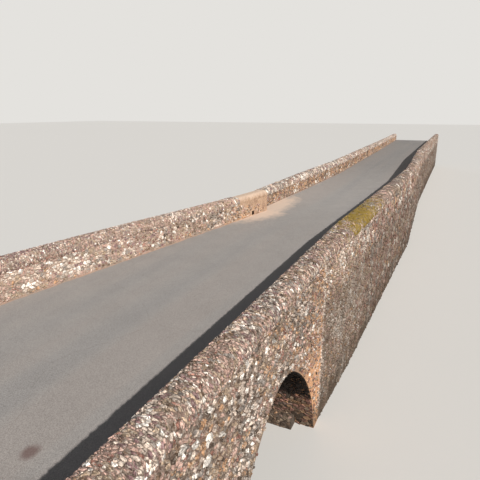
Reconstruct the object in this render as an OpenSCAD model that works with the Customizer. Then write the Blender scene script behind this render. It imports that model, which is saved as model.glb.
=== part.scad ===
// Long packhorse bridge of rubble stone: one river arch near its near end, a tarmac
// roadway and two parapets with rounded copings that sway a little along their length.
// Lengths are those of the full-size bridge in millimetres. model_scale brings every
// piece to the size of the model. X runs along the bridge from the near end, Y to the
// left and Z up from the lowest masonry. The origin is under the middle of the bridge.

/* [Scale] */
// Size of the model over the size of the full-size bridge
model_scale = 0.5; // [0.05:0.05:1]

/* [Levels] */
// Height of the road above the lowest masonry
deck_h = 3820; // [3700:20:4400]
// Thickness of the tarmac
tarmac_t = 120; // [80:10:160]
// Height of the right coping's crown above the road
right_crown_h = 1020; // [900:10:1200]
// Height of the left coping's crown above the road beside the arch
left_crown_h = 1020; // [950:10:1200]
// Drop of the left crown at the rendered end
rendered_drop = 100; // [0:10:150]
// Drop of the left crown where it starts again beyond the kink
low_drop = 220; // [100:10:260]
// Drop of the left crown along the far stretch
far_drop = 90; // [0:10:150]

/* [Plan] */
// Length of one of the six bays
bay_len = 13200; // [13000:50:14000]
// Thickness of the parapets and outer walls
wall_t = 530; // [460:10:560]
// Thickness of the right wall where it splays beyond the arch
splay_t = 700; // [600:10:800]
// Right wall's inner face from the centreline, along the straight stretch
right_straight = 2070; // [2000:10:2200]
// Right wall's inner face from the centreline, where the road is widest beyond the kink
right_bulge = 2780; // [2500:10:2900]
// Right wall's inner face from the centreline, at the far waist
right_waist = 2430; // [2300:10:2600]
// Right wall's inner face from the centreline, at the far end
right_end = 2750; // [2600:10:2900]
// Left wall's inner face from the centreline, at the near end
left_near = 4000; // [3800:10:4200]
// Left wall's inner face from the centreline, where it starts to close in on the road
left_wide = 4420; // [4300:10:4500]
// Left wall's inner face from the centreline, at the kink
left_kink = 2190; // [2100:10:2300]
// How far the far stretch of the left wall is set back at the kink
kink_step = 360; // [200:10:400]
// Left wall's inner face from the centreline, at the far waist
left_waist = 2050; // [1950:10:2200]
// Left wall's inner face from the centreline, at the far end
left_end = 2880; // [2700:10:3000]

// Length over which the right wall splays beyond the arris
splay_run = 3000; // [2000:50:4000]
// Distance from the arris to the kink of the left wall
kink_run = 8100; // [7800:50:8600]
// Length of the rendered end before the kink
rendered_len = 3300; // [2500:50:4000]

/* [River arch] */
// Centre of the arch from the arris, which ends the first bay
arch_to_arris = 3040; // [3000:10:3200]
// Half width of the arch at its springing, which lies below the lowest masonry
arch_half = 2710; // [2600:10:2750]
// Rise of the arch above its springing
arch_rise = 3847; // [3700:1:3900]
// Radius of the crown of the arch
crown_r = 1300; // [1200:10:1400]
// Depth of the arch's crown under the road
crown_depth = 750; // [740:10:800]
// Thickness of the barrel
barrel_t = 430; // [380:10:450]
// Height of the footing course at the foot of the arch
footing_h = 320; // [200:10:400]
// How far the footing course stands out at its top
footing_out = 260; // [200:10:350]

/* [Coping and drain] */
// Upright edge of the coping
coping_edge = 40; // [30:5:60]
// Radius of the coping's rounded shoulders
coping_r = 200; // [160:10:220]
// How far the coping oversails the wall
coping_out = 20; // [10:5:30]
// Width and height of the drain through the rendered end
drain_w = 160; // [120:10:200]
// Centre of the drain from the kink
drain_to_kink = 1170; // [500:10:2000]
// Sill of the drain above the road
drain_sill = 30; // [10:5:60]

/* [Hidden] */
$fn = 96;
half_len = 3 * bay_len;
arris_x = -2 * bay_len;
arch_x = arris_x - arch_to_arris;
kink_x = arris_x + kink_run;
rendered_x = kink_x - rendered_len;
coping_h = coping_edge + coping_r;
// Length by which cutters and runs go past what they cut or meet
beyond = 4 * wall_t;
// Length that reaches across the bridge at its widest, with room to spare
across = 4 * (left_wide + wall_t);
// Ends of the stretches of core, in bays from the middle: the first one holds the arch
core_ends = [-3, -2, -0.75, 0.5, 1.75, 3];

// Bends of the right wall: place along the bridge, inner face and thickness
right_x = [-half_len, arris_x, arris_x + splay_run, -1.32 * bay_len,
           -0.58 * bay_len, 0.52 * bay_len, 1.92 * bay_len, half_len];
right_mid = right_straight + 0.4 * (right_bulge - right_straight);
right_late = (right_waist + right_end) / 2;
right_y = -[right_straight, right_straight, right_straight, right_mid,
            right_bulge, right_waist, right_late, right_end];
right_t = [wall_t, wall_t, splay_t, (wall_t + splay_t) / 2, wall_t, wall_t, wall_t, wall_t];

// Bends of the left wall: the kink has two points, one for each stretch that ends there
left_x = [-half_len, -2.5 * bay_len, arris_x, rendered_x, kink_x,
          kink_x, -0.91 * bay_len, -0.35 * bay_len, 0.41 * bay_len, 1.47 * bay_len, half_len];
left_slope = (left_kink - left_wide) / (kink_x - left_x[1]);
left_far = left_kink + kink_step;
left_flare = left_end - left_waist;
left_y = [left_near, left_wide,
          left_wide + left_slope * (arris_x - left_x[1]),
          left_wide + left_slope * (rendered_x - left_x[1]),
          left_kink, left_far, (left_far + left_waist) / 2, left_waist,
          left_waist + 0.18 * left_flare, left_waist + 0.42 * left_flare, left_end];
left_drop = [0, 0, 0.3 * rendered_drop, rendered_drop, 0.9 * rendered_drop,
             low_drop, far_drop + 0.25 * (low_drop - far_drop), far_drop, far_drop, far_drop, far_drop];
left_crown = [for (drop = left_drop) left_crown_h - drop];
right_crown = [for (x = right_x) right_crown_h];

// Three centred arch: the flanks' centres lie past the axis, and the crown is tangent to both
spring_z = deck_h - crown_depth - arch_rise;
flank_run = arch_rise - crown_r;
flank_off = (flank_run * flank_run - pow(arch_half - crown_r, 2)) / (2 * (arch_half - crown_r));
flank_r = arch_half + flank_off;
flank_turn = atan2(flank_run, flank_off);
// The crown stands this much proud, so that it crosses both flanks a little below their tops
crown_lap = 3;

stone = [0.60, 0.50, 0.45];
coping_tint = [0.66, 0.61, 0.57];
render_tint = [0.78, 0.62, 0.47];
tarmac_tint = [0.58, 0.56, 0.55];
core_tint = [0.50, 0.42, 0.36];

// Value of a polyline at x: at the kink the earlier stretch counts when x comes from before it
function along(xs, ys, x, i = 0) =
    x <= xs[i + 1] || i == len(xs) - 2
        ? ys[i] + (ys[i + 1] - ys[i]) * (x - xs[i]) / (xs[i + 1] - xs[i])
        : along(xs, ys, x, i + 1);

// Points of a polyline from a to b, with the bends between them
function stretch(xs, ys, a, b) = concat(
    [[a, along(xs, ys, a)]],
    [for (i = [0 : len(xs) - 1]) if (xs[i] > a && xs[i] < b) [xs[i], ys[i]]],
    [[b, along(xs, ys, b)]]
);

function flipped(points) = [for (i = [len(points) - 1 : -1 : 0]) points[i]];

// Plan of the space between the two walls, from a to b
module between_walls(a, b) {
    polygon(concat(stretch(right_x, right_y, a, b), flipped(stretch(left_x, left_y, a, b))));
}

// Outline of the arch, larger by grow all round, seen along Y with its axis on zero
module arch_outline(grow = 0) {
    r = flank_r + grow;
    joint_z = spring_z + r * sin(flank_turn);
    intersection() {
        translate([-flank_off, spring_z]) circle(r, $fn = 720);
        translate([flank_off, spring_z]) circle(r, $fn = 720);
        translate([-r, spring_z]) square([2 * r, joint_z - spring_z]);
    }
    translate([0, spring_z + flank_run]) circle(crown_r + crown_lap + grow, $fn = 720);
}

// Solid with the arch's outline that runs across the whole bridge
module arch_passage(grow = 0) {
    translate([arch_x, across / 2, 0])
        rotate([90, 0, 0])
            linear_extrude(across) arch_outline(grow);
}

// Climb of the crown over a run's length between two bends
function climb(xs, ys, crown, i) =
    (crown[i + 1] - crown[i]) / norm([xs[i + 1] - xs[i], ys[i + 1] - ys[i]]);

// Height of the coping's underside over a point of the plan, on the slope of stretch i
function seat(xs, ys, crown, i, point) =
    deck_h + crown[i] - coping_h + climb(xs, ys, crown, i)
        * ((point - [xs[i], ys[i]]) * [xs[i + 1] - xs[i], ys[i + 1] - ys[i]])
        / norm([xs[i + 1] - xs[i], ys[i + 1] - ys[i]]);

// Upright wall between two bends, from the lowest masonry to the underside of its coping
module wall(xs, ys, t0, t1, side, i, crown) {
    from = [xs[i], ys[i]];
    to = [xs[i + 1], ys[i + 1]];
    difference() {
        linear_extrude(deck_h + max(crown[i], crown[i + 1]))
            polygon([from, to, to + [0, side * t1], from + [0, side * t0]]);
        translate([from[0], from[1], seat(xs, ys, crown, i, from)])
            rotate([0, -atan(climb(xs, ys, crown, i)), atan2(to[1] - from[1], to[0] - from[0])])
                translate([-beyond, -across / 2, 0])
                    cube([norm(to - from) + 2 * beyond, across, 2 * beyond]);
    }
}

// Half of the coping's section: upright edge, rounded shoulder, and a top that runs on inwards
module coping_side(inward) {
    start = inward > 0 ? -coping_out : -beyond;
    translate([start, 0]) square([beyond + coping_out, coping_edge]);
    translate([inward * (coping_r - coping_out), coping_edge])
        intersection() {
            circle(coping_r);
            translate([-beyond, 0]) square([2 * beyond, coping_r]);
        }
    top_start = inward > 0 ? coping_r - coping_out : -beyond;
    translate([top_start, 0]) square([beyond + coping_out - coping_r, coping_h]);
}

// Half section run along one face of a wall, from a point at height z to another in plan
module coping_run(from, to, z, rise, inward) {
    step = to - from;
    translate([from[0], from[1], z])
        rotate([0, -atan(rise), atan2(step[1], step[0])])
            translate([-beyond, 0, 0])
                rotate([90, 0, 90])
                    linear_extrude(norm(step) + 2 * beyond) coping_side(inward);
}

// Rounded coping between two bends
module coping(xs, ys, t0, t1, side, i, crown) {
    inner_a = [xs[i], ys[i]];
    inner_b = [xs[i + 1], ys[i + 1]];
    outer_a = inner_a + [0, side * t0];
    outer_b = inner_b + [0, side * t1];
    rise = climb(xs, ys, crown, i);
    intersection() {
        coping_run(inner_a, inner_b, seat(xs, ys, crown, i, inner_a), rise, side);
        coping_run(outer_a, outer_b, seat(xs, ys, crown, i, outer_a), rise, -side);
        translate([xs[i], -across / 2, deck_h])
            cube([xs[i + 1] - xs[i], across, beyond * 2]);
    }
}

module right_wall(n) {
    color(stone)
        scale(model_scale)
            difference() {
                wall(right_x, right_y, right_t[n - 1], right_t[n], -1, n - 1, right_crown);
                if (n == 1) arch_passage();
            }
}

module right_coping(n) {
    color(coping_tint)
        scale(model_scale)
            coping(right_x, right_y, right_t[n - 1], right_t[n], -1, n - 1, right_crown);
}

// The left wall's stretches are counted past the rendered end and the kink
function left_place(n) = n <= 3 ? n - 1 : n + 1;

module left_wall(n) {
    i = left_place(n);
    color(stone)
        scale(model_scale)
            difference() {
                wall(left_x, left_y, wall_t, wall_t, 1, i, left_crown);
                if (n == 2) arch_passage();
            }
}

module left_coping(n) {
    i = left_place(n);
    color(coping_tint)
        scale(model_scale)
            coping(left_x, left_y, wall_t, wall_t, 1, i, left_crown);
}

// Smooth end of the near stretch, with the drain at its foot
module rendered_end() {
    color(render_tint)
        scale(model_scale)
            difference() {
                wall(left_x, left_y, wall_t, wall_t, 1, 3, left_crown);
                translate([kink_x - drain_to_kink, left_kink, deck_h + drain_sill + drain_w / 2])
                    cube([drain_w, beyond * 2, drain_w], center = true);
            }
}

module rendered_cap() {
    color(render_tint)
        scale(model_scale)
            coping(left_x, left_y, wall_t, wall_t, 1, 3, left_crown);
}

// Barrel of the arch, from the lowest masonry up and from wall to wall
module arch_barrel() {
    color(stone)
        scale(model_scale)
            intersection() {
                linear_extrude(deck_h) between_walls(-half_len, 0);
                difference() {
                    arch_passage(barrel_t);
                    arch_passage();
                }
            }
}

// Footing course along one side of the arch: way is -1 for the near side and 1 for the far
module footing(way) {
    color(stone)
        scale(model_scale)
            intersection() {
                linear_extrude(footing_h) between_walls(-half_len, 0);
                arch_passage();
                translate([arch_x + way * (arch_half - footing_out / 2), 0, footing_h / 2])
                    cube([footing_out * 2, across, footing_h], center = true);
            }
}

module near_footing() {
    footing(-1);
}

module far_footing() {
    footing(1);
}

// Packed rubble between the walls, under the road
module core(n) {
    color(core_tint)
        scale(model_scale)
            difference() {
                linear_extrude(deck_h - tarmac_t)
                    between_walls(core_ends[n - 1] * bay_len, core_ends[n] * bay_len);
                if (n <= 2) arch_passage(barrel_t);
            }
}

module road(n) {
    color(tarmac_tint)
        scale(model_scale)
            translate([0, 0, deck_h - tarmac_t])
                linear_extrude(tarmac_t)
                    between_walls((n * 2 - 5) * bay_len, (n * 2 - 3) * bay_len);
}

right_wall(1);  // right_wall_1
right_wall(2);  // right_wall_2
right_wall(3);  // right_wall_3
right_wall(4);  // right_wall_4
right_wall(5);  // right_wall_5
right_wall(6);  // right_wall_6
right_wall(7);  // right_wall_7
right_coping(1);  // right_coping_1
right_coping(2);  // right_coping_2
right_coping(3);  // right_coping_3
right_coping(4);  // right_coping_4
right_coping(5);  // right_coping_5
right_coping(6);  // right_coping_6
right_coping(7);  // right_coping_7
left_wall(1);  // left_wall_1
left_wall(2);  // left_wall_2
left_wall(3);  // left_wall_3
left_wall(4);  // left_wall_4
left_wall(5);  // left_wall_5
left_wall(6);  // left_wall_6
left_wall(7);  // left_wall_7
left_wall(8);  // left_wall_8
left_coping(1);  // left_coping_1
left_coping(2);  // left_coping_2
left_coping(3);  // left_coping_3
left_coping(4);  // left_coping_4
left_coping(5);  // left_coping_5
left_coping(6);  // left_coping_6
left_coping(7);  // left_coping_7
left_coping(8);  // left_coping_8
rendered_end();
rendered_cap();
arch_barrel();
near_footing();
far_footing();
core(1);  // core_1
core(2);  // core_2
core(3);  // core_3
core(4);  // core_4
core(5);  // core_5
road(1);  // road_1
road(2);  // road_2
road(3);  // road_3
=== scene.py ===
"""Stones, finishes and stage of the packhorse bridge. Lengths are those of the full-size
bridge in millimetres until real() brings them to the model, in metres."""

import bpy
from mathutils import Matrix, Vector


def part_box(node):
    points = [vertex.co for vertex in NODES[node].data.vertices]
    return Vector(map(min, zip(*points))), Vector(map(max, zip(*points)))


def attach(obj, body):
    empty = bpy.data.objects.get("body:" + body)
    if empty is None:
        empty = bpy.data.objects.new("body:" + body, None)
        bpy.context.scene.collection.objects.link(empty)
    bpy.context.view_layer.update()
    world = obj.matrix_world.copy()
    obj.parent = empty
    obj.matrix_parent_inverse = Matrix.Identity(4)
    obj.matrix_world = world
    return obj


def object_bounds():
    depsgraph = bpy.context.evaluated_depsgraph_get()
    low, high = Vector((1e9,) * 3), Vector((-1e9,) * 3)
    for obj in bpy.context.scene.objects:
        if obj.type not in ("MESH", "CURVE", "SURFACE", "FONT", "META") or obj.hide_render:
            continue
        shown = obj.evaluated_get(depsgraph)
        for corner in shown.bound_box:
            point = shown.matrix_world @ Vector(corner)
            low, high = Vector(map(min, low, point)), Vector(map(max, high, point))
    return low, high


bl_info = {
    "name": "Packhorse bridge",
    "version": (1, 0, 0),
    "blender": (4, 5, 0),
    "location": "3D View > Sidebar > Bridge",
    "description": "Rubble stones, copings, road and finishes of a packhorse bridge",
    "category": "Object",
}

import math
from functools import partial
from random import Random

import bmesh
import bpy
from bpy.props import FloatProperty, FloatVectorProperty, PointerProperty
from mathutils import Vector, noise
from mathutils.geometry import delaunay_2d_cdt

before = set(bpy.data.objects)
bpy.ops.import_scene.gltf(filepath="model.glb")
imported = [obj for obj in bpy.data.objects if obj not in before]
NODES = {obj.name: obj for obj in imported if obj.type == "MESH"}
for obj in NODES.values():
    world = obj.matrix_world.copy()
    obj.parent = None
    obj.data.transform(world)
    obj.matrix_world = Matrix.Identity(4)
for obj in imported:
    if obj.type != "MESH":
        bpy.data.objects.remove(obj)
CAD_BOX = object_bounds()
SCALE = 0.5


def real(mm):
    """A length of the full-size bridge, in metres of the model."""
    return mm / 1000 * SCALE


def per(mm):
    """Scale of a pattern whose features are so many millimetres wide on the full-size bridge."""
    return 1 / real(mm)


def hold(value, low, high):
    """The value, or the bound that it passes."""
    return min(max(value, low), high)


def framed(left, right, low, high):
    """Trims points of the flat to a rectangle."""
    return lambda p: Vector((hold(p.x, left, right), hold(p.y, low, high)))


def linear(code):
    """sRGB hex colour as linear red, green, blue and alpha."""
    parts = [int(code[i:i + 2], 16) / 255 for i in (1, 3, 5)]
    return tuple(c / 12.92 if c <= 0.04045 else ((c + 0.055) / 1.055) ** 2.4 for c in parts) + (1.0,)


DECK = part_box("road_1")[1].z
DRAIN = Vector((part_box("rendered_end")[1].x - real(1170), 0.0, DECK + real(110)))
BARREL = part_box("arch_barrel")
ARCH_X = (BARREL[0].x + BARREL[1].x) / 2
ARRIS_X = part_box("right_wall_1")[1].x

# The arch's curve in three arcs: the crown's, and a flank's on each side, which is centred across the
# middle and lower down
CROWN_R = real(1300)
CROWN_Z = DECK - real(750) - CROWN_R
FLANK_OFF = real(1595)
FLANK_Z = CROWN_Z - real(2547)
FLANK_R = real(2710) + FLANK_OFF
FLANK_TURN = math.atan2(CROWN_Z - FLANK_Z, FLANK_OFF)
FLANK_BASE = math.asin(-FLANK_Z / FLANK_R)
FLANK_ARC = FLANK_R * (FLANK_TURN - FLANK_BASE)
CROWN_ARC = CROWN_R * (math.pi - 2 * FLANK_TURN)
ARCH_ARC = 2 * FLANK_ARC + CROWN_ARC

# Height above which the arch's vault is painted near black as shade, and the middles of the moss on the
# right coping, of the silt, counted out from the left wall, and of the stain on the road
VAULT_SHADE_Z = CROWN_Z - real(720)
MOSS_SPOT = (-10.75, -1.25, DECK + real(950))
SILT_SPOT = (-8.85, 0.04, DECK)
STAIN_SPOT = (-16.72, -0.24, DECK)

# How deep a stone's foot is set into the mortar, and how far its middle may swell
BED = real(6)
DOME = real(6)

# Kinds of stone, in the order of the stops of the stone's colour ramp
KINDS = ["red", "pink", "brown", "grey", "cream", "white", "dark", "orange", "purple", "tan"]
WARM = {"red", "pink", "brown", "orange", "tan"}


def corners(node):
    """Place along the bridge, right side, left side and top of a wall or coping at its two ends."""
    lo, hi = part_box(node)
    found = []
    for x in (lo.x, hi.x):
        end = [v.co for v in NODES[node].data.vertices if abs(v.co.x - x) < 0.0005]
        ys = [co.y for co in end]
        found.append((x, min(ys), max(ys), max(co.z for co in end)))
    return found


class Run:
    """One face of a row of walls in plan, with its length counted from the near end."""

    def __init__(self, names, left):
        self.points = []
        self.tops = []
        for name in names:
            for x, low, high, top in corners(name):
                point = Vector((x, high if left else low))
                # Two walls that meet within 2 mm share their end
                if not self.points or (self.points[-1] - point).length > 0.002:
                    self.points.append(point)
                    self.tops.append(top)
        self.marks = [0.0]
        for a, b in zip(self.points, self.points[1:]):
            self.marks.append(self.marks[-1] + (b - a).length)
        self.length = self.marks[-1]

    def span(self, u):
        """Which stretch holds length u."""
        for i, mark in enumerate(self.marks[1:-1]):
            if u < mark:
                return i
        return len(self.marks) - 2

    def at(self, u):
        """Point of the run at length u, and the level normal on its left."""
        i = self.span(u)
        a, b = self.points[i], self.points[i + 1]
        way = (b - a).normalized()
        return a + way * (u - self.marks[i]), Vector((-way.y, way.x))

    def top(self, u):
        """Height of the masonry at length u."""
        i = self.span(u)
        share = (u - self.marks[i]) / (self.marks[i + 1] - self.marks[i])
        return self.tops[i] * (1 - share) + self.tops[i + 1] * share

    def reach(self, x):
        """Length at which the run passes x."""
        i = max(k for k in range(len(self.points) - 1) if k == 0 or self.points[k].x <= x)
        a, b = self.points[i], self.points[i + 1]
        return self.marks[i] + (x - a.x) / (b.x - a.x) * (b - a).length


def scatter(rng, box, size, tall, named=()):
    """Centres of stones of mixed sizes in box (u0, v0, u1, v1). size(u, v) is their usual width,
    and heights count tall times as much as widths. named gives (u, v, width, kind) of chosen ones."""
    u0, v0, u1, v1 = box
    places = [u0 + (u1 - u0) * i / 20 for i in range(21)]
    widest = max(size(u, v) for u in places for v in (v0, v1)) * 1.5
    kept, grid = [], {}

    def clear(u, v, r):
        gu, gv = int(u // widest), int(v * tall // widest)
        for a in (gu - 1, gu, gu + 1):
            for b in (gv - 1, gv, gv + 1):
                for p, q, s in grid.get((a, b), ()):
                    if (u - p) ** 2 + ((v - q) * tall) ** 2 < ((r + s) / 2) ** 2:
                        return False
        return True

    def keep(u, v, r, kind):
        kept.append((u, v, kind))
        grid.setdefault((int(u // widest), int(v * tall // widest)), []).append((u, v, r))

    for u, v, width, kind in named:
        keep(u, v, width, kind)
    area = (u1 - u0) * (v1 - v0) * tall
    mean = sum(size(u, v0) for u in places) / len(places)
    # Large stones first, then smaller and smaller ones into the gaps
    for share, tries in ((1.45, 0.5), (1.15, 1.2), (0.9, 3.0), (0.68, 9.0)):
        for _ in range(int(area / mean ** 2 * tries)):
            u, v = rng.uniform(u0, u1), rng.uniform(v0, v1)
            r = size(u, v) * share
            if clear(u, v, r):
                keep(u, v, r, None)
    return kept


def cells(rng, sites, tall):
    """Outline round each site, through a point of each triangle that meets there."""
    spots = [Vector((u, v * tall)) for u, v, _ in sites]
    verts, _, faces, origins, _, _ = delaunay_2d_cdt(spots, [], [], 0, 1e-6)
    rings = [[] for _ in verts]
    spans = [max((verts[a] - verts[b]).length for a, b in zip(face, face[1:] + face[:1])) for face in faces]
    # A triangle much longer than most lies along the rim, where no stone is whole
    longest = 3 * sorted(spans)[len(spans) // 2]
    for face, span in zip(faces, spans):
        pull = [rng.uniform(0.15, 1.0) for _ in face]
        middle = sum((verts[i] * pull[n] for n, i in enumerate(face)), Vector((0, 0))) / sum(pull)
        for i in face:
            rings[i].append(middle if span < longest else None)
    for i, ring in enumerate(rings):
        if len(ring) < 4 or None in ring or not origins[i]:
            continue
        centre = verts[i]
        ring.sort(key=lambda p: math.atan2(p.y - centre.y, p.x - centre.x))
        yield sites[origins[i][0]], [Vector((p.x, p.y / tall)) for p in ring]


def area_of(ring):
    """Area of an outline, negative if it runs clockwise."""
    return sum(a.x * b.y - b.x * a.y for a, b in zip(ring, ring[1:] + ring[:1])) / 2


def plain(ring, least):
    """The ring without points that crowd each other or that stand out as thin spikes."""
    ring = list(ring)
    i = 0
    while len(ring) > 3 and i < len(ring):
        back, point, on = ring[i - 1], ring[i], ring[(i + 1) % len(ring)]
        a, b = point - back, on - point
        if a.length < least or b.length < least or a.dot(b) < -0.6 * a.length * b.length:
            ring.pop(i)
            i = max(i - 2, 0)
        else:
            i += 1
    return ring


def choose(rng, mix, u, v=0.0):
    """Kind of stone at (u, v). mix is a list of (u, weights), and a place between two takes from either.
    Warm stones gather in patches about 900 mm wide, and white ones in clusters of a few."""
    i = 0
    while i < len(mix) - 2 and u > mix[i + 1][0]:
        i += 1
    a, b = mix[i], mix[min(i + 1, len(mix) - 1)]
    weights = (b if b is not a and rng.random() < (u - a[0]) / (b[0] - a[0]) else a)[1]
    spot = Vector((u, v, 0.37))
    patch, cluster = noise.noise(spot / real(900)), noise.noise(spot / real(380) + Vector((9, 4, 2)))
    shares = []
    for kind, share in weights.items():
        gathered = 1 + 1.8 * (patch if kind in WARM else -patch) + 2.6 * cluster * (kind == "white")
        shares.append(share * max(gathered, 0.1))
    return rng.choices(list(weights), shares)[0]


def outlines(rng, sites, tall, trim, joint):
    """(site, outline) of each stone, cut back by trim(point) to the face that it belongs to."""
    for site, ring in cells(rng, sites, tall):
        ring = plain([trim(p) for p in ring], joint * 0.5)
        if len(ring) > 3 and area_of(ring) > joint * 3 * max((p - ring[0]).length for p in ring):
            yield site, ring


def stones(name, found, place, rng, joint, relief):
    """One joined mesh of stones. found holds (kind, outline) in the flat, and place(u, v, w) bends
    the flat on to the masonry, w being the height over it."""
    bm = bmesh.new()
    kinds = bm.faces.layers.float.new("tint")
    shades = bm.faces.layers.float.new("shade")
    for kind, outline in found:
        face = bm.faces.new([bm.verts.new((p.x, p.y, -BED)) for p in outline])
        face[kinds] = (KINDS.index(kind) + 0.5) / len(KINDS)
        face[shades] = rng.uniform(-1, 1)
    bm.normal_update()
    rims = bmesh.ops.inset_individual(bm, faces=bm.faces[:], thickness=joint / 2, use_even_offset=False)
    bmesh.ops.delete(bm, geom=rims["faces"], context="FACES")
    # Each stone narrows towards its top, stands proud or sunk, leans a little and is uneven at its rim
    tops = bm.faces[:]
    bmesh.ops.inset_individual(bm, faces=tops, thickness=relief * 0.9, depth=BED + relief,
                               use_even_offset=False)
    for face in tops:
        lift = rng.uniform(-0.45, 0.9) * relief
        lean = Vector((rng.uniform(-1, 1), rng.uniform(-1, 1))) * 0.2
        middle = face.calc_center_median()
        for vert in face.verts:
            away = vert.co - middle
            vert.co.z += lift + lean.x * away.x + lean.y * away.y + rng.uniform(-0.35, 0.35) * relief
    for vert in bmesh.ops.poke(bm, faces=tops)["verts"]:
        vert.co.z += rng.uniform(-0.2, 1.0) * DOME
    # Where the flat is bent on to the masonry mirrored, the faces are turned over
    u, v = sum(found[0][1], Vector((0, 0))) / len(found[0][1])
    probe = place(u, v, 0.0)
    along, up, out = (place(u + a, v + b, c) - probe
                      for a, b, c in ((0.01, 0, 0), (0, 0.01, 0), (0, 0, 0.01)))
    for vert in bm.verts:
        vert.co = place(*vert.co)
    if along.cross(up).dot(out) < 0:
        bmesh.ops.reverse_faces(bm, faces=bm.faces[:])
    mesh = bpy.data.meshes.new(name)
    bm.to_mesh(mesh)
    bm.free()
    piece = bpy.data.objects.new(name, mesh)
    bpy.context.scene.collection.objects.link(piece)
    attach(piece, "root")
    return piece


def arch_gap(x, z):
    """Distance of a point outside the arch's outline (negative inside), and the point's own arc."""
    dx, dz = x - ARCH_X, z - CROWN_Z
    if dz > 0 and math.atan2(dz, abs(dx)) > FLANK_TURN:
        centre, r = Vector((ARCH_X, CROWN_Z)), CROWN_R
    else:
        centre = Vector((ARCH_X - math.copysign(FLANK_OFF, dx), FLANK_Z))
        r = FLANK_R
    return (Vector((x, z)) - centre).length - r, centre, r


def off_arch(x, z):
    """The point itself, or the nearest one on the arch's outline if it lies inside."""
    gap, centre, r = arch_gap(x, z)
    if gap >= 0:
        return x, z
    away = Vector((x, z)) - centre
    out = centre + away.normalized() * r
    return out.x, out.y


def on_arch(p):
    """Point of the intrados at length p from the foot of its near side, and its inward normal."""
    if p < FLANK_ARC:
        turn = math.pi - FLANK_BASE - p / FLANK_R
        centre, r = Vector((ARCH_X + FLANK_OFF, FLANK_Z)), FLANK_R
    elif p > FLANK_ARC + CROWN_ARC:
        turn = FLANK_BASE + (ARCH_ARC - p) / FLANK_R
        centre, r = Vector((ARCH_X - FLANK_OFF, FLANK_Z)), FLANK_R
    else:
        turn = math.pi - FLANK_TURN - (p - FLANK_ARC) / CROWN_R
        centre, r = Vector((ARCH_X, CROWN_Z)), CROWN_R
    out = Vector((math.cos(turn), math.sin(turn)))
    return centre + out * r, -out


# Mixes of stone: how often each kind comes
FACE_NEAR = dict(pink=4, tan=5, grey=3, red=2, brown=3, cream=3.2, white=1.6, dark=2.6, orange=3)
FACE_WARM = dict(pink=4, tan=4, orange=4, grey=1.5, red=3, brown=3, cream=2.5, white=0.8, dark=1)
FACE_ORANGE = dict(orange=6, tan=4, red=3, pink=3, brown=2, cream=1.5, grey=1)
FACE_PALE = dict(tan=4, grey=4, cream=4, pink=4, brown=1, white=1, dark=0.5)
FACE_SMOOTH = dict(cream=7, pink=5, tan=6, orange=2, white=1)
FACE_RED = dict(red=4, pink=5, tan=3, grey=2, cream=2, brown=2, white=0.6, orange=1)
INNER_NEAR = dict(cream=3.5, grey=3, pink=7, tan=3, white=1.6, red=3, brown=1.5, purple=2.5)
INNER_PALE = dict(cream=9, pink=10, tan=3, white=2.6, red=1.5, orange=1, purple=0.6)
INNER_MID = dict(red=3, pink=5, tan=4, brown=5, grey=2, cream=1, white=0.7, dark=3.2, orange=1)
INNER_FAR = dict(red=2.5, pink=2, tan=3, orange=10, brown=6.5, cream=0.5, white=0.2)
CAP_PURPLE = dict(purple=6, pink=7, brown=1.5, red=3, tan=1.5, cream=2.5, white=0.3)
CAP_BRIGHT = dict(pink=12, tan=5, cream=2.5, purple=1.5, red=2, white=1, brown=1)
CAP_SPECKLED = dict(grey=3, cream=2, white=0.6, dark=1, brown=3.5, pink=7, purple=2, tan=3)
CAP_PALE = dict(grey=4, cream=8, white=1.6, pink=3, purple=2, tan=2)
CAP_MIXED = dict(purple=2, grey=1.5, cream=4, pink=6, brown=1, tan=3, white=1.5)
ARCH_MIX = dict(red=5, brown=3, orange=4, tan=2, dark=2, pink=1)
FOOT_MIX = dict(orange=3, tan=4, cream=3, pink=2, brown=2)
# Painted shade: the footings run to brown and dark stones, for the shade at the arch's foot
FOOTING_SHADE_MIX = dict(tan=3, pink=1, orange=1, brown=5, dark=4)
CORE_MIX = dict(brown=4, tan=4, red=3, grey=3, dark=2, orange=2)

RIGHT = ["right_wall_%d" % n for n in range(1, 8)]
LEFT_NEAR = ["left_wall_1", "left_wall_2", "left_wall_3", "rendered_end"]
LEFT_FAR = ["left_wall_%d" % n for n in range(4, 9)]


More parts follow.
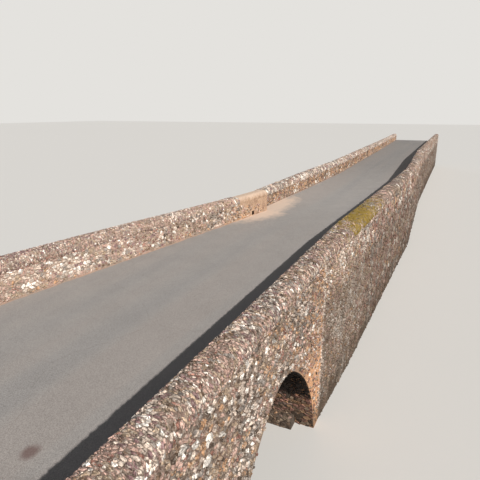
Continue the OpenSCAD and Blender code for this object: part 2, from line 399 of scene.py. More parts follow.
def face_stones(run, tag, side, low, mix, size, seed, named=(), arch=False, foot=None, keep=None):
    """Stones of one upright face from low to the underside of the coping, a piece a stretch.
    side is 1 where the face looks to the left and -1 to the right. named gives chosen stones as
    (place along the bridge, height, width, kind), foot the mix of the lowest stones, and
    keep(x, z, rng) says whether there is a stone at all."""
    values = bpy.context.scene.bridge_stones
    rng = Random(seed)
    # The stones stop short of the wall's top, where the coping's fillet starts. The draw goes on past the
    # face, so that its rim gets stones as well
    joint, tall, under, room = values.joint, 1.2, real(50), 2.2 * values.stone
    named = [(run.reach(x), z, width, kind) for x, z, width, kind in named]
    sites = scatter(rng, (-room, low - room, run.length + room, max(run.tops) + room), size, tall, named)

    def trim(p):
        u = hold(p.x, 0, run.length)
        v = hold(p.y, low, run.top(u) - under)
        if arch:
            x, z = off_arch(run.at(u)[0].x, v)
            return Vector((run.reach(x), max(z, low)))
        return Vector((u, v))

    groups = {}
    for (u, v, kind), ring in outlines(rng, sites, tall, trim, joint):
        x = run.at(u)[0].x
        if (arch and arch_gap(x, v)[0] < -real(30)) or (keep and not keep(x, v, rng)):
            continue
        low_down = foot and v < low + real(30) + rng.uniform(0, real(110))
        kind = kind or choose(rng, foot if low_down else mix, u, v)
        groups.setdefault(run.span(u), []).append((kind, ring))

    def place(u, v, w):
        point, normal = run.at(u)
        point = point + normal * (w * side)
        return Vector((point.x, point.y, max(v, 0.0)))

    return [stones("%s_%d" % (tag, i + 1), found, place, rng, joint, values.relief)
            for i, found in sorted(groups.items())]


def add_node(tree, kind, links=(), **settings):
    """Adds a shader node. links gives its inputs, by name or as a row in the order that the node shows,
    which is place, scale, detail and roughness for a noise. Each is a value, an output, or another node,
    which stands for its first output."""
    made = tree.nodes.new("ShaderNode" + kind)
    for key, value in settings.items():
        setattr(made, key, value)
    if isinstance(links, dict):
        pairs = [(made.inputs[name], value) for name, value in links.items()]
    else:
        pairs = zip([socket for socket in made.inputs if socket.enabled], links)
    for socket, value in pairs:
        if isinstance(value, bpy.types.Node):
            value = next(output for output in value.outputs if output.enabled)
        if isinstance(value, bpy.types.NodeSocket):
            tree.links.new(value, socket)
        else:
            socket.default_value = value
    return made


def grey(value):
    """Colour of even red, green and blue."""
    return (value, value, value, 1.0)


def stops(made, colours, constant=False):
    """Sets a colour ramp's stops from (place, colour)."""
    ramp = made.color_ramp
    ramp.interpolation = "CONSTANT" if constant else "LINEAR"
    while len(ramp.elements) < len(colours):
        ramp.elements.new(1.0)
    for element, (place, colour) in zip(ramp.elements, colours):
        element.position = place
        element.color = colour
    return made


def cleared(block):
    """Empties the nodes of a new material or world, and gives the function that adds to them."""
    block.use_nodes = True
    block.node_tree.nodes.clear()
    return partial(add_node, block.node_tree)


def begin(name):
    """New material, the function that adds to its nodes, the palette and the place on the bridge."""
    material = bpy.data.materials.new(name)
    add = cleared(material)
    return material, add, bpy.context.scene.bridge_colours, add("TexCoord").outputs["Object"]


def finish(add, surface, height, strength, depth, roughness=0.9):
    """Joins a matt mineral surface and its bump to the output."""
    bump = add("Bump", {"Height": height, "Strength": strength, "Distance": depth})
    shader = add("BsdfPrincipled", {"Base Color": surface, "Roughness": roughness,
                                          "Specular IOR Level": 0.25, "Normal": bump})
    add("OutputMaterial", {"Surface": shader})


def stone_material(name, lichen=0.6, pits=0.6, bright=1.0, moss=False, vault_shade=False, laid=(0.8, 0.8, 1.25),
                   chips=0.48, growth=0.55):
    """Weathered sandstone rubble: matt, grained, each stone its own colour, lichen in spots. laid is
    how much finer its beds show along each axis, chips how strongly its broken faces show, and growth
    how dark the growth on it is."""
    material, add, colours, spot = begin(name)
    tint = add("Attribute", attribute_name="tint").outputs["Fac"]
    shade = add("Attribute", attribute_name="shade").outputs["Fac"]
    base = stops(add("ValToRGB", (tint,)),
                 [(i / len(KINDS), getattr(colours, kind)) for i, kind in enumerate(KINDS)], True)
    # Clouding inside a stone, about 70 mm wide, and sand grain, drawn 14 mm wide so that it shows
    cloud = add("TexNoise", (spot, per(70), 4.0, 0.65))
    grain = add("TexNoise", (spot, per(14), 2.0, 0.6))
    clouded = add("MapRange", (cloud, 0.3, 0.7, 0.78, 1.2))
    grained = add("MapRange", (grain, 0.3, 0.7, -0.28, 0.28))
    lit = add("Math", (shade, 0.22, clouded), operation="MULTIPLY_ADD")
    lit = add("Math", (lit, grained), operation="ADD")
    lit = add("Math", (lit, chipped(add, spot, chips * bright, bright, laid)), operation="MULTIPLY")
    toned = add("HueSaturation", {"Color": base, "Value": lit})
    bedded = add("Mapping", {"Vector": spot, "Scale": laid})
    surface = weathered(add, bedded, toned, colours, lichen, pits)
    # Dark growth in broad runs, stronger near the ground, where the masonry stays damp
    height = add("SeparateXYZ", (spot,)).outputs["Z"]
    run = add("TexNoise", (spot, per(500), 5.0, 0.6))
    low = add("MapRange", (height, 0.0, real(1500), 0.28, 0.0))
    dark = add("Math", (run, low), operation="ADD")
    dark = add("MapRange", (dark, 0.52, 0.78, 0.0, growth))
    surface = add("Mix", (dark, surface, colours.damp), data_type="RGBA")
    # Painted shade of bushes on the outer face beyond the arris, with damp grime
    surface = bush_shade_and_grime(add, spot, surface, colours)
    if vault_shade:
        # Painted shade: the vault goes near black above a set height, for the shade under the arch
        vault_shade_mix = add("MapRange", (height, VAULT_SHADE_Z, VAULT_SHADE_Z + real(220), 0.0, 0.97))
        surface = add("Mix", (vault_shade_mix, surface, linear("#1A1310")), data_type="RGBA")
    if moss:
        surface = mossy(add, spot, surface, colours)
    rough = add("Math", (cloud, 0.6, grain), operation="MULTIPLY_ADD")
    finish(add, surface, rough, 0.7, real(10))
    return material


def chipped(add, spot, depth, middle, laid=(0.8, 0.8, 1.25)):
    """Brightness of broken faces about 26 mm across, middle plus or minus depth."""
    flat = add("Mapping", {"Vector": spot, "Scale": laid})
    chips = add("TexVoronoi", (flat, per(26)))
    return add("MapRange", (chips.outputs["Color"], 0.2, 0.8, middle - depth, middle + depth))


def weathered(add, spot, surface, colours, pale, dark):
    """Crusts, chips and pits 30 to 40 mm across, which break up every stone and the mortar alike."""
    fleck = add("TexNoise", (spot, per(38), 3.0, 0.7))
    light = add("MapRange", (fleck, 0.54, 0.59, 0.0, pale))
    surface = add("Mix", (light, surface, colours.lichen), data_type="RGBA")
    moved = add("Mapping", {"Vector": spot, "Location": (3.1, 7.7, 1.3)})
    pit = add("TexNoise", (moved, per(34), 3.0, 0.7))
    deep = add("MapRange", (pit, 0.41, 0.46, dark, 0.0))
    return add("Mix", (deep, surface, colours.dark), data_type="RGBA")


def bush_shade_and_grime(add, spot, surface, colours):
    """Darkening on the outer face beyond the arris, below the road: painted shade of bushes, and damp
    grime.
    """
    x, _, z = add("SeparateXYZ", (spot,)).outputs
    past = add("MapRange", (x, ARRIS_X - real(10), ARRIS_X + real(70), 0.0, 1.0))
    under = add("MapRange", (z, DECK + real(60), DECK - real(500), 0.0, 0.5))
    shade_and_grime = add("Math", (past, under), operation="MULTIPLY")
    return add("Mix", (shade_and_grime, surface, colours.damp), data_type="RGBA")


def distance(add, source, centre, stretch):
    """How far source is from centre, where stretch says how much each axis counts."""
    apart = add("VectorMath", (source, centre), operation="SUBTRACT")
    apart = add("VectorMath", (apart, stretch), operation="MULTIPLY")
    return add("VectorMath", (apart,), operation="LENGTH")


def mossy(add, spot, surface, colours):
    """Moss on the right coping beyond the arris, in tufts about 60 mm wide."""
    tuft = add("TexNoise", (spot, per(60), 4.0))
    tuft = add("Math", (tuft, 3.0), operation="MULTIPLY")
    ragged = add("TexNoise", (spot, per(420), 3.0))
    cover = add("Math", (ragged, 2.2, tuft), operation="MULTIPLY_ADD")
    cover = add("Math", (cover, 1.1), operation="SUBTRACT")
    cover = add("Math", (cover, distance(add, spot, MOSS_SPOT, (0.85, 3.0, 2.0))), operation="SUBTRACT")
    cover = add("MapRange", (cover, 0.45, 0.7, 0.0, 0.9))
    return add("Mix", (cover, surface, colours.moss), data_type="RGBA")


def mortar_material(name, bright=1.0, dark=0.6, stained=True):
    """Lime mortar, coarse and sandy: tan, greyer where weathered, orange by the arch where stained."""
    material, add, colours, spot = begin(name)
    broad = add("TexNoise", (spot, per(600), 4.0, 0.6))
    base = stops(add("ValToRGB", (broad,)),
                 [(0.32, colours.mortar_grey), (0.5, colours.mortar), (0.68, colours.mortar_pink)])
    # Sand and pebbles, drawn 20 mm wide so that they show
    sand = add("TexNoise", (spot, per(20), 3.0, 0.7))
    sanded = add("MapRange", (sand, 0.3, 0.7, 0.62, 1.15))
    sanded = add("Math", (sanded, chipped(add, spot, 0.25 * bright, bright)), operation="MULTIPLY")
    toned = add("HueSaturation", {"Color": base, "Value": sanded})
    surface = weathered(add, spot, toned, colours, 0.5, dark)
    x, _, z = add("SeparateXYZ", (spot,)).outputs
    if stained:
        # Reddish staining of the arch's surround, strongest towards the arris
        past = add("MapRange", (x, ARCH_X - real(1500), ARCH_X + real(2200), 0.0, 0.95))
        under = add("MapRange", (z, DECK - real(400), DECK - real(1800), 0.0, 1.0))
        before = add("MapRange", (x, ARRIS_X - real(40), ARRIS_X + real(60), 1.0, 0.0))
        warm = add("Math", (past, under), operation="MULTIPLY")
        warm = add("Math", (warm, before), operation="MULTIPLY")
        even = add("Math", (sanded, 0.88 / bright), operation="MULTIPLY")
        rusty = add("HueSaturation", {"Color": colours.rusty, "Value": even})
        surface = add("Mix", (warm, surface, rusty), data_type="RGBA")
    # Painted shade of bushes on the outer face beyond the arris, with damp grime
    surface = bush_shade_and_grime(add, spot, surface, colours)
    foot = add("MapRange", (z, real(900), 0.0, 0.0, 0.6))
    surface = add("Mix", (foot, surface, colours.damp), data_type="RGBA")
    finish(add, surface, sand, 0.8, real(14))
    return material


def tarmac_material(right, near_left, far_left):
    """Old rolled tarmac: matt grey, fine chippings, paler wheel tracks, silt, hair cracks."""
    material, add, colours, spot = begin("worn_tarmac")
    x, y, z = add("SeparateXYZ", (spot,)).outputs
    # Long bands along the road, worn by wheels, about 900 mm wide
    drawn = add("Mapping", {"Vector": spot, "Scale": (0.04, 1.0, 1.0), "Rotation": (0.0, 0.0, 0.03)})
    bands = add("TexNoise", (drawn, per(900), 3.0))
    base = stops(add("ValToRGB", (bands,)),
                 [(0.35, colours.tarmac_dark), (0.5, colours.tarmac), (0.65, colours.tarmac_pink)])
    # Chippings, drawn 16 mm wide so that they show
    chips = add("TexNoise", (spot, per(16), 2.0, 0.7))
    patches = add("TexNoise", (spot, per(900), 9.0, 0.78))
    chippings = add("MapRange", (chips, 0.3, 0.7, 0.7, 1.3))
    patched = add("MapRange", (patches, 0.3, 0.7, -0.07, 0.07))
    lit = add("Math", (chippings, patched), operation="ADD")
    surface = add("HueSaturation", {"Color": base, "Value": lit})
    share, room = wall_room(add, x, y, right, near_left, far_left)
    # Grit along the foot of each wall
    ragged = add("TexNoise", (spot, per(300), 5.0, 0.65))
    for gap, wide, strength in ((room[0], real(170), 0.75), (room[1], real(200), 0.6)):
        edge = add("Math", (ragged, -wide, gap), operation="MULTIPLY_ADD")
        edge = add("MapRange", (edge, -wide / 2, 0.0, strength, 0.0))
        surface = add("Mix", (edge, surface, colours.grit), data_type="RGBA")
    # Dustier past the kink, darker far off
    worn = stops(add("ValToRGB", (share,)),
                 [(at, grey(value)) for at, value in
                  ((0.0, 0.505), (0.25, 0.505), (0.33, 0.545), (0.4, 0.5), (0.52, 0.41), (1.0, 0.36))])
    worn = add("Math", (worn, 2.1), operation="MULTIPLY")
    surface = add("HueSaturation", {"Color": surface, "Value": worn})
    # Pale silt washed to the drain and beyond the kink, then the red-brown stain at the near end
    by_wall = add("CombineXYZ", (x, room[0], z))
    surface = blotted(add, spot, surface, (
        (by_wall, SILT_SPOT, (0.6, 1.9, 0.0), 1.14, colours.silt, 0.95),
        (spot, STAIN_SPOT, (9.0, 12.0, 0.0), 0.85, colours.stain, 0.7)))
    surface = cracked(add, spot, surface, colours)
    finish(add, surface, chips, 0.35, real(6), 0.85)
    return material


def wall_room(add, x, y, right, near_left, far_left):
    """The share of the bridge's length at x, and the room to the foot of the left and the right wall.
    A ramp holds how far the wall is from the axis at each of its bends, as a share of reach."""
    first, last, reach = CAD_BOX[0].x, CAD_BOX[1].x, 3.0
    share = add("MapRange", (x, first, last))
    room = []
    for points, sign in ((near_left.points + far_left.points, 1.0), (right.points, -1.0)):
        line = stops(add("ValToRGB", (share,)),
                     [((p.x - first) / (last - first) + 0.0002 * (p is far_left.points[0]),
                       grey(abs(p.y) / reach)) for p in points])
        wide = add("Math", (line, reach), operation="MULTIPLY")
        room.append(add("Math", (y, -sign, wide), operation="MULTIPLY_ADD"))
    return share, room


def blotted(add, spot, surface, blots):
    """Blots with ragged edges, each (source, centre, stretch, size, colour, strength)."""
    uneven = add("TexNoise", (spot, per(350), 5.0, 0.65))
    for source, centre, stretch, size, colour, strength in blots:
        near = add("Math", (uneven, 0.9, size - 0.45), operation="MULTIPLY_ADD")
        near = add("Math", (near, distance(add, source, centre, stretch)), operation="SUBTRACT")
        near = add("MapRange", (near, 0.0, 0.5, 0.0, strength))
        surface = add("Mix", (near, surface, colour), data_type="RGBA")
    return surface


def cracked(add, spot, surface, colours):
    """Hair cracks, drawn some 16 mm wide so that they show."""
    bent = add("TexNoise", (spot, per(500), 3.0))
    bent = add("Mix", (0.12, spot, bent.outputs["Color"]), data_type="VECTOR")
    crack = add("TexVoronoi", (bent, per(3200)), feature="DISTANCE_TO_EDGE")
    crack = add("MapRange", (crack, 0.0, 0.005, 0.12, 0.0))
    return add("Mix", (crack, surface, colours.dark), data_type="RGBA")


def render_material():
    """Lime render trowelled on: sandy, mottled where it has worn, pale along the top of the wall."""
    material, add, colours, spot = begin("trowelled_lime_render")
    worn = add("TexNoise", (spot, per(330), 6.0, 0.7))
    base = stops(add("ValToRGB", (worn,)),
                 [(0.36, colours.render_dark), (0.5, colours.render), (0.64, colours.render_pale)])
    sand = add("TexNoise", (spot, per(18), 2.0, 0.7))
    sanded = add("MapRange", (sand, 0.3, 0.7, 0.88, 1.1))
    toned = add("HueSaturation", {"Color": base, "Value": sanded})
    specked = weathered(add, spot, toned, colours, 0.4, 0.45)
    x, _, z = add("SeparateXYZ", (spot,)).outputs
    high = add("Math", (worn, real(300), z), operation="MULTIPLY_ADD")
    high = add("MapRange", (high, DECK + real(880), DECK + real(1040), 0.0, 0.8))
    surface = add("Mix", (high, specked, colours.render_cap), data_type="RGBA")
    # Painted shade: a near-black square where the drain opens, for the shade inside it
    along = add("Math", (x, DRAIN.x, real(83)), operation="COMPARE")
    up = add("Math", (z, DRAIN.z, real(83)), operation="COMPARE")
    inside = add("Math", (along, up), operation="MULTIPLY")
    surface = add("Mix", (inside, surface, linear("#2A1B10")), data_type="RGBA")
    rough = add("Math", (worn, 2.0, sand), operation="MULTIPLY_ADD")
    finish(add, surface, rough, 0.5, real(12))
    return material


def length(text, mm, least, most=400):
    """Setting of a length, in millimetres of the full-size bridge."""
    return FloatProperty(name=text, description=text + ", at the model's size", default=real(mm),
                         min=real(least), max=real(most), unit="LENGTH")


def tone(text, code):
    """Setting of a colour."""
    return FloatVectorProperty(name=text, description="Colour of " + text.lower(), subtype="COLOR",
                               size=4, min=0, max=1, default=linear(code))


class BridgeStones(bpy.types.PropertyGroup):
    """Sizes of the stones and of the mortar between them"""
    near_stone: length("Width of a face stone by the arch", 64, 40)
    stone: length("Width of a stone elsewhere", 185, 100, 500)
    inner_stone: length("Width of a near left parapet stone", 80, 60)
    cap_stone: length("Width of a coping stone far off", 115, 60)
    near_cap: length("Width of a near coping stone", 37, 25)
    joint: length("Width of the mortar between stones", 16, 5, 60)
    relief: length("Height of the stones over the mortar", 18, 2, 30)
    arch_stone: length("Width of a stone of the arch's lining", 85, 60)


class BridgeColours(bpy.types.PropertyGroup):
    """Colours of the stones, the finishes and the stage"""
    red: tone("Red sandstone", "#946B5E")
    pink: tone("Pink sandstone", "#B49588")
    brown: tone("Brown sandstone", "#7B6452")
    grey: tone("Grey stone", "#8F867F")
    cream: tone("Cream stone", "#D1BFB0")
    white: tone("White quartz and limestone", "#ECE4DA")
    dark: tone("Dark stone and deep joints", "#57493F")
    orange: tone("Orange sandstone", "#B99170")
    purple: tone("Purple stone of the near left coping", "#866A69")
    tan: tone("Tan sandstone", "#AA947E")
    lichen: tone("Pale lichen", "#D0C4B6")
    moss: tone("Moss on the right coping", "#947C30")
    rusty: tone("Mortar between the arch and the arris", "#FFC496")
    # Also the colour of the painted shade of bushes beyond the arris
    damp: tone("Damp masonry and dark growth", "#4D4136")
    mortar: tone("Tan lime mortar", "#A59080")
    mortar_grey: tone("Weathered mortar", "#857A70")
    mortar_pink: tone("Reddish mortar", "#AE9082")
    tarmac: tone("Worn tarmac", "#9F9A96")
    tarmac_dark: tone("Tarmac between the wheel tracks", "#9A9693")
    tarmac_pink: tone("Tarmac with pink chippings", "#A19A95")
    silt: tone("Silt at the drain", "#E2CBB8")
    grit: tone("Sandy grit along the walls' feet", "#C6A38A")
    stain: tone("Rusty stain", "#6A4D48")
    render: tone("Sandy render", "#C09E82")
    render_dark: tone("Worn and damp render", "#9C7D68")
    render_pale: tone("Clean render", "#CDAC8F")
    render_cap: tone("Bleached top of the render", "#DCC2AC")
    floor: tone("Stage floor and backdrop", "#E4E2DE")


def usual(size):
    """The same usual width everywhere."""
    return lambda u, v: size


class BRIDGE_OT_finishes(bpy.types.Operator):
    """Give each part of the frame its finish"""
    bl_idname = "bridge.finishes"
    bl_label = "Finish masonry and road"

    def execute(self, context):
        right_mortar = mortar_material("coarse_lime_mortar", 0.76, 0.95)
        left_mortar = mortar_material("pale_lime_mortar", 1.25, 0.35)
        road = tarmac_material(Run(RIGHT, True), Run(LEFT_NEAR, False), Run(LEFT_FAR, False))
        render = render_material()
        # Painted shade: the barrel and footings get a mortar at half brightness, for the shade under the
        # arch
        arch_shade_mortar = mortar_material("damp_lime_mortar", 0.5, 0.6, False)
        bright_nodes = LEFT_NEAR + ["left_coping_1", "left_coping_2", "left_coping_3"]
        for name, node in NODES.items():
            if name.startswith("road"):
                chosen = road
            elif name.startswith("rendered"):
                chosen = render
            elif name.endswith("footing") or name == "arch_barrel":
                chosen = arch_shade_mortar
            else:
                chosen = left_mortar if name in bright_nodes else right_mortar
            node.data.materials.clear()
            node.data.materials.append(chosen)
        return {"FINISHED"}


# Large white stones of the near right face: place along the bridge, height over the road and width
WHITE_STONES = [
    (-15.79, 775, 300), (-15.63, 880, 170), (-15.60, 632, 170), (-15.99, 505, 170), (-16.20, 605, 150),
    (-16.21, 205, 330), (-16.53, 545, 230), (-16.39, 357, 160), (-16.25, -110, 190), (-16.04, 0, 150),
    (-15.04, 460, 140), (-15.20, 432, 150), (-15.02, -320, 150), (-15.39, -440, 160)]

# Large stones of the near left parapet, likewise, with their kinds
PARAPET_STONES = [
    (-14.93, 640, 170, "white"), (-14.86, 250, 230, "white"), (-14.92, 250, 150, "white"),
    (-13.98, 330, 150, "white"), (-14.03, 330, 130, "white"), (-13.91, 600, 330, "tan"),
    (-11.68, 640, 110, "white"), (-11.74, 560, 110, "white"), (-11.61, 600, 100, "cream"),
    (-12.74, 180, 110, "white"), (-14.38, 480, 120, "white"), (-13.61, 570, 120, "white")]


class BRIDGE_OT_faces(bpy.types.Operator):
    """Lay the rubble stones of the upright faces"""
    bl_idname = "bridge.faces"
    bl_label = "Lay rubble faces"

    def execute(self, context):
        values = context.scene.bridge_stones
        sandstone = stone_material("weathered_sandstone_rubble", pits=0.75, bright=1.07, growth=0.85)
        bleached = stone_material("bleached_sandstone_rubble", 0.8, 0.4, 1.18)
        for piece in self.right(values) + self.left(values):
            near_left = piece.name.startswith("left_parapet_near")
            piece.data.materials.append(bleached if near_left else sandstone)
        return {"FINISHED"}

    def right(self, values):
        """The right wall's outer face, then the road side of its parapet."""
        outer, inner = Run(RIGHT, False), Run(RIGHT, True)
        arris = outer.marks[1]

        def near_size(u, v):
            grown = hold((u - arris) / real(12000), 0, 1)
            return values.near_stone + (values.stone - values.near_stone) * grown

        def open_jointed(x, z, rng):
            """Whether a stone stands clear of the mortar that was smeared on beside the arch."""
            smeared = ARCH_X < x < ARRIS_X - real(60) and z < DECK - real(1750) + rng.uniform(0, real(500))
            return not smeared or rng.random() < 0.4

        mix = [(0, FACE_NEAR), (outer.reach(ARCH_X - real(1500)), FACE_NEAR),
               (outer.reach(ARCH_X + real(1500)), FACE_WARM), (arris - real(900), FACE_WARM),
               (arris - real(300), FACE_ORANGE), (arris + real(100), FACE_SMOOTH),
               (arris + real(3000), FACE_SMOOTH), (arris + real(6000), FACE_RED), (outer.length, FACE_PALE)]
        named = [(x, DECK + real(z), real(width), "white") for x, z, width in WHITE_STONES]
        # Cream stones up the arris paint the highlight of its sunlit edge, a pale upright line
        named += [(ARRIS_X - real(45), DECK - real(1900) + real(105) * n, real(96), "cream")
                  for n in range(26)]
        made = face_stones(outer, "right_face", -1, 0.0, mix, near_size, 11, named, arch=True,
                           keep=open_jointed)
        made += face_stones(inner, "right_parapet", 1, DECK, [(0, FACE_RED), (inner.length, FACE_RED)],
                            usual(values.stone), 12)
        return made

    def left(self, values):
        """Both stretches of the left parapet's road side, then their outer faces."""
        foot_z, foot = DECK + real(20), [(0, FOOT_MIX)]
        near, far = Run(LEFT_NEAR, False), Run(LEFT_FAR, False)
        render_x, render_run = near.points[3].x, near.points[4].x - near.points[3].x

        def bare(x, z, rng):
            """Whether a stone shows through the render: only low down and away from the kink."""
            share = (x - render_x) / render_run
            if abs(x - DRAIN.x) < real(190) and z < DRAIN.z + real(180):
                return False
            height = real(900) * (1.2 - 1.2 * share)
            return share < 0.2 or z - DECK < height + rng.uniform(-1, 1) * real(160)

        mix = [(0, INNER_PALE), (near.reach(-14.9), INNER_PALE), (near.reach(-13.6), INNER_NEAR),
               (near.reach(-12.9), INNER_NEAR), (near.reach(-11.9), INNER_MID),
               (near.reach(render_x), INNER_MID), (near.length, FACE_ORANGE)]
        named = [(x, DECK + real(z), real(width), kind) for x, z, width, kind in PARAPET_STONES]
        made = face_stones(near, "left_parapet_near", -1, foot_z, mix, usual(values.inner_stone), 13, named,
                           foot=foot, keep=bare)
        # Past the kink the stones widen by 4 mm a metre
        made += face_stones(far, "left_parapet_far", -1, foot_z, [(0, INNER_FAR), (far.length, INNER_FAR)],
                            lambda u, v: min(values.inner_stone + 0.004 * u, values.stone), 14, foot=foot)
        near, far = Run(LEFT_NEAR, True), Run(LEFT_FAR, True)
        made += face_stones(near, "left_face_near", 1, 0.0, [(0, FACE_RED), (near.length, FACE_RED)],
                            usual(values.stone), 15, arch=True)
        made += face_stones(far, "left_face_far", 1, 0.0, [(0, FACE_RED), (far.length, FACE_PALE)],
                            usual(values.stone), 16)
        return made


class BRIDGE_OT_copings(bpy.types.Operator):
    """Set the small stones bedded in the rounded copings"""
    bl_idname = "bridge.copings"
    bl_label = "Set coping stones"

    def execute(self, context):
        capstone = stone_material("lichened_coping_rubble", 0.7, 0.75, 1.22, moss=True,
                                  laid=(1.8, 0.65, 0.65), chips=0.62)
        made = []
        # Each row of copings: its stones' name, its nodes, the mix at lengths along it, and the seed
        for tag, names, mix, seed in (
                ("right_capping", ["right_coping_%d" % n for n in range(1, 8)],
                 [(0, CAP_BRIGHT), (3, CAP_BRIGHT), (5, CAP_SPECKLED), (6, CAP_SPECKLED)], 21),
                ("left_capping_near", ["left_coping_1", "left_coping_2", "left_coping_3", "rendered_cap"],
                 [(0, CAP_PALE), (4.5, CAP_PALE), (4.8, CAP_PURPLE), (7.5, CAP_MIXED)], 22),
                ("left_capping_far", ["left_coping_%d" % n for n in range(4, 9)],
                 [(0, CAP_PALE)], 23)):
            made += self.cap(tag, names, mix, seed, context.scene.bridge_stones)
        for piece in made:
            piece.data.materials.append(capstone)
        return {"FINISHED"}

    def cap(self, tag, names, mix, seed, values):
        """Stones of one row of copings, on a section that runs up one side, over and down the other."""
        right, left = Run(names, False), Run(names, True)
        rng = Random(seed)
        # Height of the fillet of mortar, how far the coping oversails, its upright edge, rounding and crest
        under, oversail, edge, r, crest = real(75), real(20), real(40), real(200), real(170)
        turn = math.pi / 2 * r
        girth = 2 * (under + edge + turn) + crest
        half = girth / 2

        def size(u, v):
            # The stones widen over 4 m, from 12.5 m before the middle of the bridge
            far = hold((right.at(u)[0].x + 12.5) / 4.0, 0, 1)
            return values.near_cap + (values.cap_stone - values.near_cap) * far

        def place(u, v, w):
            i = right.span(u)
            near_point, normal = right.at(u)
            share = (u - right.marks[i]) / (right.marks[i + 1] - right.marks[i])
            across = (left.points[i] * (1 - share) + left.points[i + 1] * share - near_point).dot(normal)
            side = (v if v <= half else girth - v) - under
            if side < edge:
                # The fillet leads back to the wall's face
                off, up, face = oversail * max(-side / under, 0), side, Vector((-1, 0))
            elif side < edge + turn:
                a = (side - edge) / r
                face = Vector((-math.cos(a), math.sin(a)))
                off, up = r - r * math.cos(a), edge + r * math.sin(a)
            else:
                part = (side - edge - turn) / (half - under - edge - turn)
                off, up, face = r + (across / 2 - r) * part, edge + r, Vector((0, 1))
            off += face.x * w
            up += face.y * w
            if v > half:
                off = across - off
            point = near_point + normal * off
            return Vector((point.x, point.y, right.top(u) - edge - r + up))

        # On the right the stones lie across the wall, and past the kink the render covers the first ones
        tall = 0.6 if tag.startswith("right") else 0.9
        bare = real(500) if tag.endswith("far") else 0
        last = right.reach(DRAIN.x - real(1150)) if tag.endswith("near") else right.length
        room = 2 * values.cap_stone
        sites = scatter(rng, (-room, -room, right.length + room, girth + room), size, tall)
        groups = {}
        trim = framed(0, right.length, 0, girth)
        for (u, v, _), ring in outlines(rng, sites, tall, trim, values.joint * 0.35):
            if bare <= u < last + rng.uniform(-1, 1) * real(150):
                groups.setdefault(right.span(u), []).append((choose(rng, mix, u, v), ring))
        return [stones("%s_%d" % (tag, i + 1), found, place, rng, values.joint * 0.6, real(10)) for i, found in sorted(groups.items())]


class BRIDGE_OT_arch(bpy.types.Operator):
    """Line the arch and dress its footings"""
    bl_idname = "bridge.arch"
    bl_label = "Line the arch"

    def execute(self, context):
        values = context.scene.bridge_stones
        right, left = Run(RIGHT, False), Run(LEFT_NEAR, True)
        low_y, high_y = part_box("right_wall_1")[0].y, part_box("left_wall_2")[1].y
        room = 3 * values.arch_stone

        def trim(p):
            u = hold(p.x, 0, ARCH_ARC)
            x = on_arch(u)[0].x
            return Vector((u, hold(p.y, right.at(right.reach(x))[0].y, left.at(left.reach(x))[0].y)))

        def place(u, v, w):
            point, inward = on_arch(u)
            point = point + inward * w
            return Vector((point.x, v, max(point.y, 0.0)))

        rng = Random(31)
        sites = scatter(rng, (-room, low_y - room, ARCH_ARC + room, high_y + room),
                        usual(values.arch_stone), 0.8)
        found = [(choose(rng, [(0, ARCH_MIX)], u), ring)
                 for (u, v, _), ring in outlines(rng, sites, 0.8, trim, values.joint)]
        made = [stones("arch_lining", found, place, rng, values.joint * 0.3, real(12))]
        for way, name, seed in ((-1, "near_footing", 32), (1, "far_footing", 33)):
            lo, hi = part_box(name)
            face_x = hi.x if way < 0 else lo.x
            _, first, last, _ = corners(name)[way < 0]
            girth = hi.z + (hi.x - lo.x)

            def on_footing(u, v, w):
                if v < hi.z:
                    return Vector((face_x - way * w, u, max(v, 0.0)))
                return Vector((face_x + way * (v - hi.z), u, hi.z + w))

            rng = Random(seed)
            sites = scatter(rng, (first - room, -room, last + room, girth + room),
                            usual(values.arch_stone), 1.2)
            trim = framed(first, last, 0, girth)
            found = [(choose(rng, [(0, FOOTING_SHADE_MIX)], u), ring)
                     for (u, v, _), ring in outlines(rng, sites, 1.2, trim, values.joint)]
            made.append(stones(name + "_stones", found, on_footing, rng, values.joint, real(12)))
        # The lining's material paints the shade under the vault in near black
        lining = stone_material("damp_arch_sandstone", 0.2, 0.5, 1.12, vault_shade=True)
        for piece in made:
            piece.data.materials.append(lining)
        return {"FINISHED"}


class BRIDGE_OT_ends(bpy.types.Operator):
    """Face the two cut ends and the step at the kink with rubble"""
    bl_idname = "bridge.ends"
    bl_label = "Face the ends"

    def execute(self, context):
        values = context.scene.bridge_stones
        packed = stone_material("packed_rubble_fill", 0.15, 0.5)
        # Each face: name, way it looks, its place, and its bays from right to left as (low, high, top, mix)
        faces = []
        for tag, side, right, left, road in (
                ("near_end_rubble", -1, "right_wall_1", "left_wall_1", "road_1"),
                ("far_end_rubble", 1, "right_wall_7", "left_wall_8", "road_3")):
            x, y0, right_inner, right_top = corners(right)[side > 0]
            _, left_inner, y1, left_top = corners(left)[side > 0]
            faces.append((tag, side, x, ((y0, right_inner, right_top, FACE_RED),
                                         (right_inner, left_inner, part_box(road)[0].z, CORE_MIX),
                                         (left_inner, y1, left_top, FACE_RED))))
        # The far left wall starts proud of the rendered end's outer face
        x, _, outer, top = corners("left_wall_4")[0]
        inner = corners("rendered_end")[1][2]
        faces.append(("kink_return_rubble", -1, x, ((inner, outer, top, FACE_RED),)))
        for n, (tag, side, x, bays) in enumerate(faces):
            rng = Random(41 + n)
            room = 2 * values.stone
            highest = max(bay[2] for bay in bays)
            sites = scatter(rng, (bays[0][0] - room, -room, bays[-1][1] + room, highest + room),
                            usual(values.stone), 1.4)
            found = []
            for low, high, top, mix in bays:
                own = [site for site in sites if low - room / 4 < site[0] < high + room / 4]
                found += [(choose(rng, [(0, mix)], u, v), ring) for (u, v, _), ring
                          in outlines(rng, own, 1.4, framed(low, high, 0.0, top), values.joint)]
            piece = stones(tag, found, lambda u, v, w: Vector((x + side * w, u, max(v, 0.0))),
                           rng, values.joint * 1.2, values.relief)
            piece.data.materials.append(packed)
        return {"FINISHED"}


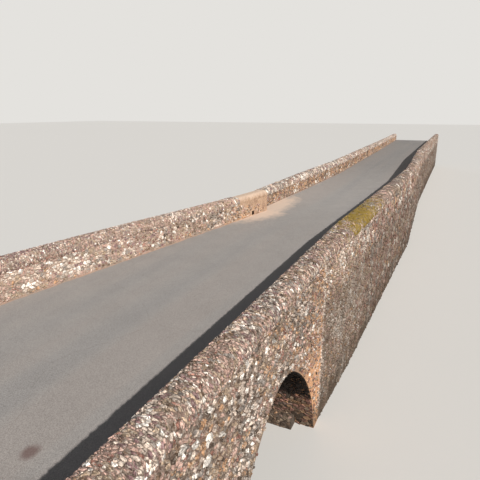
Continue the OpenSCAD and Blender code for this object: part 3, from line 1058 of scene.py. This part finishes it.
class BRIDGE_OT_stage(bpy.types.Operator):
    """Set the floor, the light and the camera"""
    bl_idname = "bridge.stage"
    bl_label = "Set the stage"

    def execute(self, context):
        scene = context.scene
        colours = scene.bridge_colours
        bm = bmesh.new()
        bmesh.ops.create_grid(bm, x_segments=8, y_segments=8, size=150.0)
        mesh = bpy.data.meshes.new("studio_floor")
        bm.to_mesh(mesh)
        bm.free()
        floor = bpy.data.objects.new("studio_floor", mesh)
        scene.collection.objects.link(floor)
        material = bpy.data.materials.new("matt_studio_floor")
        mesh.materials.append(material)
        world = bpy.data.worlds.new("studio_world")
        scene.world = world
        # Both look pale to the camera, and light the bridge less than they look
        for block, kind, output, unseen, seen in (
                (material, "BsdfDiffuse", "OutputMaterial", {"Color": linear("#66635F")},
                 {"Color": colours.floor}),
                (world, "Background", "OutputWorld", {"Color": linear("#DCE4F0"), "Strength": 0.175},
                 {"Color": colours.floor, "Strength": 1.0})):
            add = cleared(block)
            rays = add("LightPath")
            shown = add("Math", (rays.outputs["Is Camera Ray"], rays.outputs["Is Glossy Ray"]),
                        operation="MAXIMUM")
            both = add("MixShader", (shown, add(kind, unseen), add(kind, seen)))
            add(output, {"Surface": both})

        # Key light over the right side, and a low soft fill on the far end and the outside of the left wall
        for name, energy, spread, bearing, height, colour in (
                ("key_light", 4.1, 1.2, 55.0, 34.5, (1.0, 0.97, 0.93)),
                ("fill_light", 1.5, 6.0, -140.0, 3.0, (0.95, 0.97, 1.0))):
            lamp = bpy.data.lights.new(name, "SUN")
            lamp.energy = energy
            lamp.angle = math.radians(spread)
            lamp.color = colour
            light = bpy.data.objects.new(name, lamp)
            bearing, height = math.radians(bearing), math.radians(height)
            way = Vector((math.cos(bearing) * math.cos(height), math.sin(bearing) * math.cos(height),
                          -math.sin(height)))
            light.rotation_euler = way.to_track_quat("-Z", "Y").to_euler()
            scene.collection.objects.link(light)

        # The camera stands over the near end and looks down, and to the left of the bridge's axis
        dip, swing = 16.22, 25
        camera = bpy.data.objects.new("camera", bpy.data.cameras.new("camera"))
        camera.data.lens = 33.0
        camera.data.clip_end = 400.0
        camera.location = (-18.3, -2.5, DECK + real(4300))
        camera.rotation_euler = (math.radians(90 - dip), 0, math.radians(swing - 90))
        scene.collection.objects.link(camera)
        scene.camera = camera
        scene.view_settings.view_transform = "Standard"
        return {"FINISHED"}


class BRIDGE_PT_sidebar(bpy.types.Panel):
    """Buttons and settings of the bridge"""
    bl_idname = "BRIDGE_PT_sidebar"
    bl_label = "Packhorse bridge"
    bl_space_type = "VIEW_3D"
    bl_region_type = "UI"
    bl_category = "Bridge"

    def draw(self, context):
        for name in ORDER:
            self.layout.operator(name)
        for group in (context.scene.bridge_stones, context.scene.bridge_colours):
            box = self.layout.box()
            for key in group.__annotations__:
                box.prop(group, key)


CLASSES = (BridgeStones, BridgeColours, BRIDGE_OT_finishes, BRIDGE_OT_faces, BRIDGE_OT_copings,
           BRIDGE_OT_arch, BRIDGE_OT_ends, BRIDGE_OT_stage, BRIDGE_PT_sidebar)
ORDER = ("bridge.finishes", "bridge.faces", "bridge.copings", "bridge.arch", "bridge.ends", "bridge.stage")


def register():
    for item in CLASSES:
        bpy.utils.register_class(item)
    bpy.types.Scene.bridge_stones = PointerProperty(type=BridgeStones)
    bpy.types.Scene.bridge_colours = PointerProperty(type=BridgeColours)


def unregister():
    del bpy.types.Scene.bridge_colours
    del bpy.types.Scene.bridge_stones
    for item in reversed(CLASSES):
        bpy.utils.unregister_class(item)


def main():
    register()
    bpy.ops.bridge.finishes()
    bpy.ops.bridge.faces()
    bpy.ops.bridge.copings()
    bpy.ops.bridge.arch()
    bpy.ops.bridge.ends()
    bpy.ops.bridge.stage()


if __name__ == "__main__":
    main()
